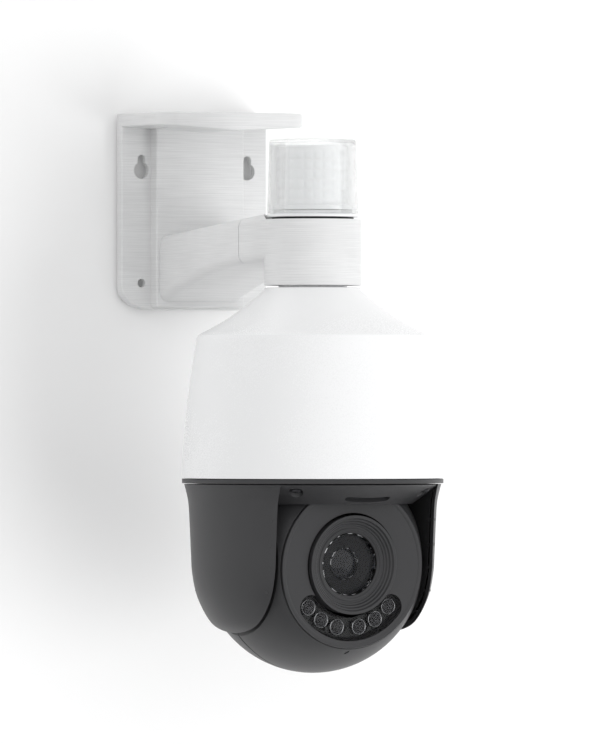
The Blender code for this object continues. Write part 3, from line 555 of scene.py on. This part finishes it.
solder_mask = Finish("solder_mask", (0.03, 0.18, 0.09), 0.45)
mask_pads = solder_mask.draw.node("TexVoronoi", {"feature": "DISTANCE_TO_EDGE"},
                                  {"Vector": solder_mask.place, "Scale": 330.0})
solder_mask.colours(mask_pads > 0.07, (0.05, 0.27, 0.13), (0.02, 0.13, 0.07))
solder_mask.rough(solder_mask.noise(120.0), 0.32, 0.55)
solder_mask.bump(mask_pads > 0.07, 0.03, 0.6)
coated(solder_mask, "main_board", "driver_board", "sensor_board")

lamp_tray = Finish("lamp_tray", (0.80, 0.81, 0.82), 0.4)
lamp_tray.rough(lamp_tray.noise(300.0), 0.32, 0.5)
lamp_tray.bump(lamp_tray.noise(1500.0), 0.02, 0.5)
lamp_resin = Finish("lamp_resin", (0.93, 0.88, 0.62), 0.2)
lamp_resin.rough(lamp_resin.noise(600.0), 0.12, 0.3)
lamp_resin.bump(lamp_resin.noise(900.0), 0.05, 0.5)
tray = turned(softened([(6, -0.9), (17.0, -0.9), (17.0, 0.5), (16.2, 0.7), (6, 0.7)], 0.15), 96)
dressed("lamp_tray", on_neck(tray), "head", lamp_tray, ["beacon_board"])
lamp_ring = bmesh.new()
for step in range(8):
    x, y = polar(12.0, 45 * step)
    chip = eased(block((3.5, 3.5, 1.4)), 0.15, 2)
    die = turned([(0.0, 0.95), (0.8, 0.9), (1.3, 0.7), (1.3, 0.5), (0.0, 0.5)], 24)
    for shape in (chip, die):
        chip_mesh = bpy.data.meshes.new("chip")
        on_neck(spun(shape, 45 * step, "Z"), x, y, 1.45).to_mesh(chip_mesh)
        shape.free()
        lamp_ring.from_mesh(chip_mesh)
        bpy.data.meshes.remove(chip_mesh)
dressed("alarm_lamps", lamp_ring, "head", lamp_resin)

clear_plastic = Finish("clear_plastic", (0.97, 0.98, 0.98), 0.03,
                       {"Transmission Weight": 1.0, "IOR": 1.49, "Alpha": 0.6})
clear_plastic.rough(clear_plastic.noise(70.0, 3.0), 0.01, 0.05)
prism_plastic = Finish("prism_plastic", (0.96, 0.965, 0.97), 0.2, {"IOR": 1.49})
prism_plastic.rough(prism_plastic.noise(50.0, 3.0), 0.12, 0.26)

# The prism lens is a cylinder of 24 columns and six rows of low pillows
PILLOW_R = 18.8
LENS_FOOT_Z = -0.9
PILLOW_HEIGHT = 31.4
pillow_rows = [(PILLOW_R, LENS_FOOT_Z + PILLOW_HEIGHT * row / 36) for row in range(37)]
prism_lens = turned([(0.0, 32.8), (17.9, 32.8), (18.7, 32.0)] + list(reversed(pillow_rows[3:]))
                    + [(18.9, 1.8), (20.6, 1.7), (20.8, 1.5), (20.8, -0.7), (20.6, LENS_FOOT_Z),
                       (17.3, LENS_FOOT_Z), (17.3, 31.3), (0.0, 31.3)], 144)
for vert in prism_lens.verts:
    reach = math.hypot(vert.co.x, vert.co.y)
    if abs(reach - PILLOW_R) < 0.05:
        column = math.atan2(vert.co.y, vert.co.x) / math.tau * 24 % 1
        row = (vert.co.z - LENS_FOOT_Z) / PILLOW_HEIGHT * 6 % 1
        swell = math.sqrt(math.sin(math.pi * column) * math.sin(math.pi * row)) if row > 0.01 else 0.0
        factor = (18.35 + 0.55 * swell) / reach
        vert.co.x *= factor
        vert.co.y *= factor
dressed("alarm_prism_lens", on_neck(prism_lens), "head", prism_plastic,
        ["beacon_lens"])

cup_outer = [(0.0, 36.0)] + softened([(0.0, 36.0), (22.7, 36.0), (24.0, -2.9)], 1.6, False, 6)[1:-1]
cup_inner = softened([(22.4, -2.9), (21.1, 34.4), (0.0, 34.4)], 1.0, False, 6)[1:]
alarm_cup = turned(cup_outer + [(23.95, -2.7), (23.8, -2.9), (22.6, -2.9), (22.4, -2.7)]
                   + cup_inner, 144)
dressed("alarm_cup", on_neck(alarm_cup), "head", clear_plastic,
        ["beacon_cover"])

# === Head shell ==============================================================================
# One moulding in near-white plastic with a soft gloss: a hollow cone that sweeps out to a rounded
# shoulder and a slightly bowed side. The nut inside clamps it under the collar.

shell_line = softened([(18.4, -41.65), (24.8, -41.65), (25.4, -42.6)], 0.4, False)
shell_line += bowed((25.4, -42.6), (59.2, -65.9), 126.0, 40, side=-1)[1:-1]
shell_line += softened([(58.9, -65.5), (60.2, -66.6), (60.75, -68.0)], 0.7, False, 8)[1:]
shell_line += bowed((60.75, -68.0), (68.7, -141.1), 545.0, 40)[1:]
shell_line += [(68.6, -141.33), (68.4, -141.4), (66.5, -141.4), (66.2, -141.1)]
shell_line += bowed((66.2, -141.1), (58.1, -69.5), 542.5, 16, side=-1)[1:]
shell_line += bowed((57.3, -68.1), (22.8, -44.15), 128.5, 16)
shell_line += [(18.4, -44.15)]
dressed("head_shell", on_neck(turned(shell_line, 192)), "head", white_shell, ["upper_shell"])

# === Trim ring ===============================================================================
# A dark plastic hoop pressed into the foot of the shell, which leaves a fine line between the
# white head and the turning yoke.

dark_plastic = Finish("dark_plastic", (0.034, 0.034, 0.036), 0.42, {"Specular IOR Level": 0.4})
spark_texture = dark_plastic.noise(2600.0, 3.0)
sheen_clouds = dark_plastic.noise(22.0, 3.0)
dark_plastic.colours(sheen_clouds * 0.7 + spark_texture * 0.3, (0.028, 0.028, 0.030), (0.042, 0.042, 0.044))
dark_plastic.rough(sheen_clouds * 0.4 + spark_texture * 0.6, 0.34, 0.52)
dark_plastic.bump(spark_texture, 0.025, 0.55)

trim_line = softened([(61.0, -144.0), (68.5, -144.0), (68.5, -141.7), (65.8, -141.7), (65.8, -138.5),
                      (63.4, -138.5), (63.4, -141.7), (61.0, -141.7)], 0.3)
dressed("shell_trim_ring", on_neck(turned(trim_line, 192)), "head", dark_plastic,
        ["trim_ring"])

# === Pan drive ===============================================================================
# An aluminium chassis holds the pan bearing and the motor. A small brass pulley drives a large
# plastic one on the hollow shaft through a rubber belt, and a slip ring passes the wires.

bare_aluminium = Finish("bare_aluminium", (0.62, 0.63, 0.64), 0.4, {"Metallic": 1.0})
cast_skin = bare_aluminium.noise(420.0, 4.0)
bare_aluminium.colours(cast_skin, (0.54, 0.55, 0.56), (0.68, 0.69, 0.70))
bare_aluminium.rough(cast_skin, 0.32, 0.55)
bare_aluminium.bump(cast_skin, 0.05, 0.6)
coated(bare_aluminium, "pan_chassis", "pan_shaft")

turned_brass = Finish("turned_brass", (0.78, 0.57, 0.27), 0.3, {"Metallic": 1.0})
tool_lines = turned_brass.noise(1.0, 2.0, turned_brass.stretched((120.0, 120.0, 5200.0)))
turned_brass.colours(tool_lines, (0.66, 0.47, 0.21), (0.86, 0.65, 0.33))
turned_brass.rough(tool_lines, 0.18, 0.4)
turned_brass.bump(tool_lines, 0.02, 0.5)
coated(turned_brass, "pan_motor_pulley", "tilt_motor_pulley")

belt_rubber = Finish("belt_rubber", (0.02, 0.02, 0.02), 0.7)
belt_ribs = belt_rubber.draw.node("TexWave", {"bands_direction": "Z"},
                                  {"Vector": belt_rubber.place, "Scale": 240.0})
belt_rubber.colours(belt_ribs, (0.014, 0.014, 0.014), (0.036, 0.036, 0.037))
belt_rubber.rough(belt_rubber.noise(500.0), 0.6, 0.85)
belt_rubber.bump(belt_ribs, 0.15, 0.6)
coated(belt_rubber, "pan_belt", "tilt_belt")

black_plastic = Finish("black_plastic", (0.018, 0.018, 0.019), 0.38)
black_skin = black_plastic.noise(2000.0, 2.0)
black_plastic.colours(black_plastic.noise(40.0), (0.013, 0.013, 0.014), (0.024, 0.024, 0.025))
black_plastic.rough(black_skin, 0.3, 0.5)
black_plastic.bump(black_skin, 0.02, 0.5)
coated(black_plastic, "pan_pulley", "tilt_pulley", "slip_ring", "speaker", "microphone")

# === Yoke frame ==============================================================================
# The dark plastic moulding that turns under the head: a roof over the ball and a brow round the
# foot of the shell, with wells for the four screws and a slot in front for the speaker.

SCREW_CIRCLE_R = 61.5
SCREW_ANGLES = (-39, 39, 141, 219)
frame_line = [(15.4, -120.5), (55.0, -120.5), (57.1, -121.4), (58.0, -123.5), (58.0, -144.5),
              (67.4, -144.5), (52.0, -154.8), (50.9, -153.1), (60.8, -146.5), (56.0, -146.5),
              (56.0, -124.5), (55.0, -123.5), (15.4, -123.5)]
yoke_frame = turned(softened(frame_line, 0.35, steps=2), 160)
for side in (-1, 1):
    yoke_frame = carve(yoke_frame, block((30, 140, 20), (side * 62.4, 0, -154.2)))
slot_outline = arc((11.4, 0), 2.1, -90, 90, 12) + arc((-11.4, 0), 2.1, 90, 270, 12)
speaker_slot = prism(slot_outline, -7, 7)
spun(speaker_slot, -33.8, "X")
yoke_frame = carve(yoke_frame, moved(speaker_slot, 0, -55.5, -152.4))
for angle in SCREW_ANGLES:
    x, y = polar(SCREW_CIRCLE_R, angle)
    well = turned([(0, -158), (3.7, -158), (3.7, -147.0), (3.5, -146.8), (0, -146.8)], 48)
    yoke_frame = carve(yoke_frame, moved(well, x, y))
    screw_hole = turned([(0, -150), (1.9, -150), (1.9, -141), (0, -141)], 32)
    yoke_frame = carve(yoke_frame, moved(screw_hole, x, y))
dressed("yoke_roof_and_brow", on_neck(yoke_frame), "yoke", dark_plastic,
        ["yoke_frame"])

# === Yoke screws =============================================================================
# Four blackened pan-head screws with a cross recess, at the bottom of the wells in the brow. They
# fix the brow to the turning plate above it.

black_steel = Finish("black_steel", (0.05, 0.05, 0.055), 0.4, {"Metallic": 0.9})
oxide_bloom = black_steel.noise(500.0, 3.0)
black_steel.colours(oxide_bloom, (0.035, 0.035, 0.04), (0.08, 0.08, 0.085))
black_steel.rough(oxide_bloom, 0.3, 0.55)
black_steel.bump(oxide_bloom, 0.02, 0.5)

for number, angle in enumerate(SCREW_ANGLES, 1):
    x, y = polar(SCREW_CIRCLE_R, angle)
    head_line = [(0.0, -148.7)] + [(3.0 * math.sin(math.radians(a)), -147.1 - 1.6 * math.cos(math.radians(a)))
                                   for a in range(15, 91, 15)]
    yoke_screw = turned(head_line + [(1.5, -147.1), (1.5, -144.9), (0.0, -144.9)], 40)
    for turn in (0, 90):
        recess = spun(eased(block((2.7, 0.7, 2.0), (0, 0, -148.9)), 0.12, 1), turn, "Z")
        yoke_screw = carve(yoke_screw, recess)
    spun(yoke_screw, 23 * number, "Z")
    dressed(f"yoke_cross_screw_{number}", on_neck(yoke_screw, x, y), "yoke", black_steel,
            [f"yoke_screw_{number}"])

# === Cheeks ==================================================================================
# The two hollow sides of the yoke, swept down round the ball and open inwards. A flat plate closes
# each and carries a bearing, and short ribs stiffen the rim.


def flowing(points, steps):
    """A smooth line through a few chosen points."""
    line = [Vector(point) for point in points]
    line = [2 * line[0] - line[1]] + line + [2 * line[-1] - line[-2]]
    smooth = []
    for a, b, c, d in zip(line, line[1:], line[2:], line[3:]):
        for k in range(steps):
            t = k / steps
            smooth.append(0.5 * (2 * b + (c - a) * t + (2 * a - 5 * b + 4 * c - d) * t**2
                                 + (3 * b - a - 3 * c + d) * t**3))
    return [tuple(point) for point in smooth + [line[-2]]]


YOKE_LINE = flowing([(67.4, -144.5), (66.5, -147.6), (65.2, -153.9), (64.6, -163.0), (63.9, -179.0),
                     (63.1, -191.6), (60.25, -204.2), (53.5, -216.8), (45.0, -224.0)], 6)


def cheek_solid(inset, lid):
    """The yoke's outer form, drawn in by the thickness of its wall."""
    line = []
    for i, point in enumerate(YOKE_LINE):
        along = Vector(YOKE_LINE[min(i + 1, len(YOKE_LINE) - 1)]) - Vector(YOKE_LINE[max(i - 1, 0)])
        along.normalize()
        line.append((point[0] + along.y * inset, point[1] - along.x * inset))
    line = [point for point in line if point[1] < lid - 0.4]
    flare = 0.29 * (lid - line[0][1])
    return turned([(0.0, lid), (line[0][0] + flare, lid)] + line + [(0.0, line[-1][1])], 192)


CHEEK_FACE_X = 47.7
CHEEK_WALL = 2.0

for name, side in (("left", -1), ("right", 1)):
    cheek = cheek_solid(0.0, -144.5)
    sliced(cheek, (side * CHEEK_FACE_X, 0, 0), (-side, 0, 0))
    inside = cheek_solid(CHEEK_WALL, -146.5)
    sliced(inside, (side * 46.0, 0, 0), (-side, 0, 0))
    cheek = carve(cheek, inside)
    eased(cheek, 0.35, 2, chosen=lambda edge: all(abs(abs(v.co.x) - CHEEK_FACE_X) < 0.02 for v in edge.verts))
    for height in (-163.0, -176.0, -188.0, -200.0, -211.0):
        radius = next(point[0] for point in YOKE_LINE if point[1] <= height) - CHEEK_WALL
        depth = math.sqrt(radius**2 - CHEEK_FACE_X**2)
        for facing in (-1, 1):
            rib = eased(block((2.2, 4.4, 1.3), (side * 48.9, facing * (depth - 1.2), height)), 0.15, 2)
            cheek = carve(cheek, rib, "UNION")
    dressed(f"yoke_cheek_{name}", on_neck(cheek), "yoke", dark_plastic,
            [f"cheek_{name}"])
coated(dark_plastic, "cheek_plate_left", "cheek_plate_right")

# === Camera ball =============================================================================
# Two dark plastic halves screwed together on a fine seam across the lens axis, with flat sides
# towards the cheeks. The front half has the seat for the face plate and the microphone's hole.

BALL_R = 58.07
BALL_FLAT_X = 43.75
TILT_AXIS_Z = -185.3


def ball_line(radius, low, high, steps):
    """(radius, height) points on a ball centred on the axis, between two heights."""
    first, last = (math.degrees(math.asin(height / radius)) for height in (low, high))
    points = arc((0, 0), radius, first, last, steps)
    return points[:-1] + [(0.0, high)] if abs(high) == radius else points


def ball_slab(outline, half_width, steps):
    """A part of the ball, spun about the lens axis and cut flat on both sides."""
    bm = forward(turned(outline, steps))
    for side in (-1, 1):
        sliced(bm, (side * half_width, 0, 0), (side, 0, 0))
    return bm


def on_ball(bm):
    """Takes a shape from the lens's own frame to its place at rest, three degrees down."""
    return on_neck(spun(bm, 3.0, "X"), z=TILT_AXIS_Z)


def flat_side_edge(edge):
    return all(abs(abs(vert.co.x) - BALL_FLAT_X) < 0.02 for vert in edge.verts)


ball_rim = math.sqrt(BALL_R**2 - 42.9**2)
front_outer = [(0.0, 0.2), (57.7, 0.2)] + ball_line(BALL_R, 0.6, ball_rim - 0.25, 40)
front_outer += softened([(43.3, ball_rim - 0.5), (42.9, ball_rim), (42.9, 37.6)], 0.2, False, 3)[1:]
front_outer += [(40.2, 37.6), (40.2, 33.6), (0.0, 33.6)]
ball_front = eased(ball_slab(front_outer, BALL_FLAT_X, 192), 0.5, 3, chosen=flat_side_edge)
front_inner = [(0.0, -2.0)] + ball_line(55.9, -2.0, 35.4, 12) + [(0.0, 35.4)]
ball_front = carve(ball_front, ball_slab(front_inner, 41.55, 96))
rear_outer = [(0.0, -0.2), (57.7, -0.2)] + ball_line(BALL_R, -0.6, -BALL_R, 48)
ball_rear = eased(ball_slab(rear_outer, BALL_FLAT_X, 192), 0.5, 3, chosen=flat_side_edge)
rear_inner = [(0.0, 2.0)] + ball_line(55.9, 2.0, -55.9, 16)
ball_rear = carve(ball_rear, ball_slab(rear_inner, 41.55, 96))
mic_outline = arc((1.0, 0), 0.55, -90, 90, 10) + arc((-1.0, 0), 0.55, 90, 270, 10)
mic_slot = spun(prism(mic_outline, 50, 62), 50, "Z")
ball_front = carve(ball_front, spun(mic_slot, 140.6, "X"))
trunnion_bore = [(0, -60), (5.3, -60), (5.3, 60), (0, 60)]
ball_front = carve(ball_front, rightward(turned(trunnion_bore, 64)))
ball_rear = carve(ball_rear, rightward(turned(trunnion_bore, 64)))
dressed("ball_front_half", on_ball(ball_front), "ball", dark_plastic, ["ball_front"])
dressed("ball_rear_half", on_ball(ball_rear), "ball", dark_plastic, ["ball_rear"])

# === Face plate ==============================================================================
# A round plate of the same dark plastic with a raised bead at its rim. It clips into the ball and
# has a hole for the lens ring and a curved opening for the infrared window.


LAMP_CIRCLE_R = 32.1
LAMP_SWEEP = 49.1
LENS_RISE = 1.2


def lamp_slot(half_width, steps=48):
    """A curved slot below the lens, with round ends at the outermost lamps."""
    first, last = -90 - LAMP_SWEEP, -90 + LAMP_SWEEP
    outline = arc((0, 0), LAMP_CIRCLE_R + half_width, first, last, steps)
    right = arc((0, 0), LAMP_CIRCLE_R, last, 0, 1)[0]
    outline += arc(right, half_width, last, last + 180, 20)[1:-1]
    outline += arc((0, 0), LAMP_CIRCLE_R - half_width, last, first, steps)
    left = arc((0, 0), LAMP_CIRCLE_R, first, 0, 1)[0]
    return outline + arc(left, half_width, 90 - LAMP_SWEEP, 270 - LAMP_SWEEP, 20)[1:-1]


def lens_cut(radius):
    """A round cutter on the lens's axis, which lies a little above the ball's middle."""
    return moved(forward(turned([(0, 30), (radius, 30), (radius, 50), (0, 50)], 144)), z=LENS_RISE)


face_line = [(0.0, 37.9), (42.3, 37.9), (42.6, 38.4), (42.6, 39.7), (42.35, 40.15), (41.7, 40.3),
             (40.7, 40.25), (40.2, 40.0), (39.9, 39.9), (0.0, 39.9)]
face_plate = carve(forward(turned(face_line, 192)), lens_cut(27.0))
face_plate = carve(face_plate, forward(prism(lamp_slot(6.6), 30, 50)))
eased(face_plate, 0.25, 2, chosen=lambda edge: all(v.co.y < -39.85 and math.hypot(v.co.x, v.co.z) < 39.5
                                                     for v in edge.verts))
dressed("face_plate", on_ball(face_plate), "ball", dark_plastic, ["face_disc"])

# === Infrared window =========================================================================
# A strip of thin, polished, smoke-tinted plastic, glued into the curved opening. The lamps show
# through it.

smoked_plastic = Finish("smoked_plastic", (0.012, 0.012, 0.014), 0.08, {"IOR": 1.55, "Alpha": 0.14})
smoked_plastic.rough(smoked_plastic.noise(90.0, 3.0), 0.05, 0.12)
window_solid = carve(forward(prism(lamp_slot(6.3), 38.3, 39.7)), lens_cut(27.3))
eased(window_solid, 0.2, 2, angle=60)
dressed("infrared_pane", on_ball(window_solid), "ball", smoked_plastic, ["ir_window"])

# === Lamps ===================================================================================
# Six lamps in an arc under the lens, each a tinted resin dome in a thin bright rim, over a dark cup
# with a tiny die. They stand on a black board that also carries three light sensors.

lamp_cup = Finish("lamp_cup", (0.07, 0.07, 0.075), 0.25, {"Metallic": 1.0})
lamp_cup.rough(lamp_cup.noise(400.0), 0.16, 0.36)
lamp_rim = Finish("lamp_rim", (0.75, 0.76, 0.78), 0.2, {"Metallic": 1.0})
lamp_rim.rough(lamp_rim.noise(700.0), 0.12, 0.34)
lamp_dome = Finish("lamp_dome", (0.06, 0.06, 0.065), 0.03, {"IOR": 1.6, "Alpha": 0.3})
lamp_dome.rough(lamp_dome.noise(200.0), 0.01, 0.05)
black_mask = Finish("black_mask", (0.012, 0.013, 0.013), 0.4)
black_mask.rough(black_mask.noise(300.0), 0.3, 0.5)
coated(black_mask, "led_board")

for number, angle in enumerate((-LAMP_SWEEP, -30.7, -12.0, 12.0, 30.7, LAMP_SWEEP), 1):
    x, z = polar(LAMP_CIRCLE_R, angle)
    cup_line = softened([(0.0, 34.9), (1.3, 34.9), (3.2, 36.5), (3.8, 36.5), (3.8, 36.7), (4.2, 36.7),
                         (4.2, 34.6), (0.0, 34.6)], 0.1, False, 2)
    cup = moved(forward(turned(cup_line, 48)), x, 0, z)
    dressed(f"lamp_{number}_cup", on_ball(cup), "ball", lamp_cup, [f"ir_led_{number}"])
    rim = softened([(3.65, 36.5), (4.2, 36.5), (4.2, 37.3), (3.95, 37.5), (3.65, 37.1)], 0.08)
    dressed(f"lamp_{number}_rim", on_ball(moved(forward(turned(rim, 64)), x, 0, z)), "ball", lamp_rim)
    die = moved(forward(eased(block((1.1, 1.1, 0.3), (0, 0, 35.15)), 0.05, 1)), x, 0, z)
    dressed(f"lamp_{number}_die", on_ball(die), "ball", black_mask)
    dome_line = [(0.0, 38.1)] + [(3.6 * math.sin(math.radians(a)), 36.75 + 1.35 * math.cos(math.radians(a)))
                                 for a in range(6, 91, 6)] + [(3.6, 36.6), (0.0, 36.6)]
    dome = moved(forward(turned(dome_line, 48)), x, 0, z)
    dressed(f"lamp_{number}_dome", on_ball(dome), "ball", lamp_dome)

# === Lens ring ===============================================================================
# The moulded bezel round the lens: a flat land, steps that go down and in, a groove and a shallow
# cone that leads in to the glass.

lens_line = softened([(16.5, 33.9), (25.9, 33.9), (25.9, 42.0), (24.3, 42.0), (23.7, 41.0), (22.9, 40.9),
                      (22.3, 39.9), (21.6, 39.8), (21.0, 38.9), (20.3, 38.75), (20.0, 38.2), (19.2, 38.2),
                      (18.9, 38.6), (17.9, 38.3), (17.7, 38.0), (16.5, 37.4)], 0.2, True, 3)


def on_lens(bm):
    """Takes a shape turned about the lens's axis to its place in the ball."""
    return on_ball(moved(forward(bm), z=LENS_RISE))


dressed("lens_bezel", on_lens(turned(lens_line, 192)), "ball", dark_plastic,
        ["lens_ring"])

# === Lens glass ==============================================================================
# The polished, dark-coated front glass in a thin bright retaining ring, and behind it a black
# cone, a second glass in its own ring, and the iris. The bright rings carry painted glints, and the
# second glass is opaque black, as painted shade for the dark inside of the lens.

coated_glass = Finish("coated_glass", (0.008, 0.009, 0.012), 0.01, {"IOR": 1.5, "Alpha": 0.2})
coated_glass.rough(coated_glass.noise(60.0), 0.004, 0.02)
glass_line = [(0.0, 37.6)] + [(r, 37.6 - 1.9 * (r / 15.4)**2) for r in (3, 6, 9, 11, 13, 14.4, 15.2)]
glass_line += [(15.7, 35.2), (15.7, 34.7), (0.0, 34.7)]
dressed("lens_front_glass", on_lens(turned(glass_line, 128)), "ball", coated_glass,
        ["front_glass"])

bright_ring = Finish("bright_ring", (0.75, 0.76, 0.78), 0.15, {"Metallic": 1.0})
# Painted glints: random spots switch the ring's colour between black and bright metal, so it sparkles in
# points. The same spots also vary its roughness and relief.
painted_glint_spots = bright_ring.noise(260.0, 4.0)
bright_ring.colours(painted_glint_spots > 0.53, (0.03, 0.03, 0.03), (0.85, 0.86, 0.88))
bright_ring.rough(painted_glint_spots, 0.05, 0.4)
bright_ring.bump(painted_glint_spots, 0.3, 0.8)
retainer = softened([(15.75, 34.4), (16.3, 34.4), (16.3, 36.9), (15.95, 37.1), (15.75, 35.6)], 0.1)
dressed("lens_retaining_ring", on_lens(turned(retainer, 160)), "ball", bright_ring)

anti_glare = Finish("anti_glare_black", (0.012, 0.012, 0.013), 0.55)
anti_glare.rough(anti_glare.noise(500.0), 0.45, 0.7)
anti_glare.bump(anti_glare.noise(900.0), 0.04, 0.6)
coated(anti_glare, "lens_barrel")
cone_line = softened([(14.1, 30.2), (14.1, 33.4), (13.6, 33.4), (8.6, 31.4), (8.6, 30.2)], 0.15)
dressed("lens_cone", on_lens(turned(cone_line, 128)), "ball", anti_glare)
inner_ring = softened([(7.7, 29.6), (8.5, 29.6), (8.5, 31.7), (8.1, 31.9), (7.7, 31.2)], 0.12)
dressed("lens_inner_ring", on_lens(turned(inner_ring, 128)), "ball", bright_ring)
inner_glass = [(0.0, 31.1)] + [(r, 31.1 - 1.2 * (r / 7.6)**2) for r in (1.5, 3, 4.5, 6, 7, 7.6)]
# Painted shade: the second glass is opaque glossy black rather than clear, standing in for the darkness
# inside the lens behind it.
inner_glass_painted_shade = Finish("inner_glass_painted_shade", (0.014, 0.015, 0.018), 0.03, {"IOR": 1.7})
inner_glass_painted_shade.rough(inner_glass_painted_shade.noise(60.0), 0.01, 0.05)
dressed("lens_inner_glass", on_lens(turned(inner_glass + [(7.6, 29.4), (0.0, 29.4)], 96)), "ball",
        inner_glass_painted_shade)
iris_line = softened([(2.1, 27.4), (2.1, 27.0), (14.0, 26.9), (14.0, 27.6), (7.0, 27.9)], 0.08)
dressed("lens_iris", on_lens(turned(iris_line, 96)), "ball", anti_glare)
coated(coated_glass, "zoom_group", "focus_group")
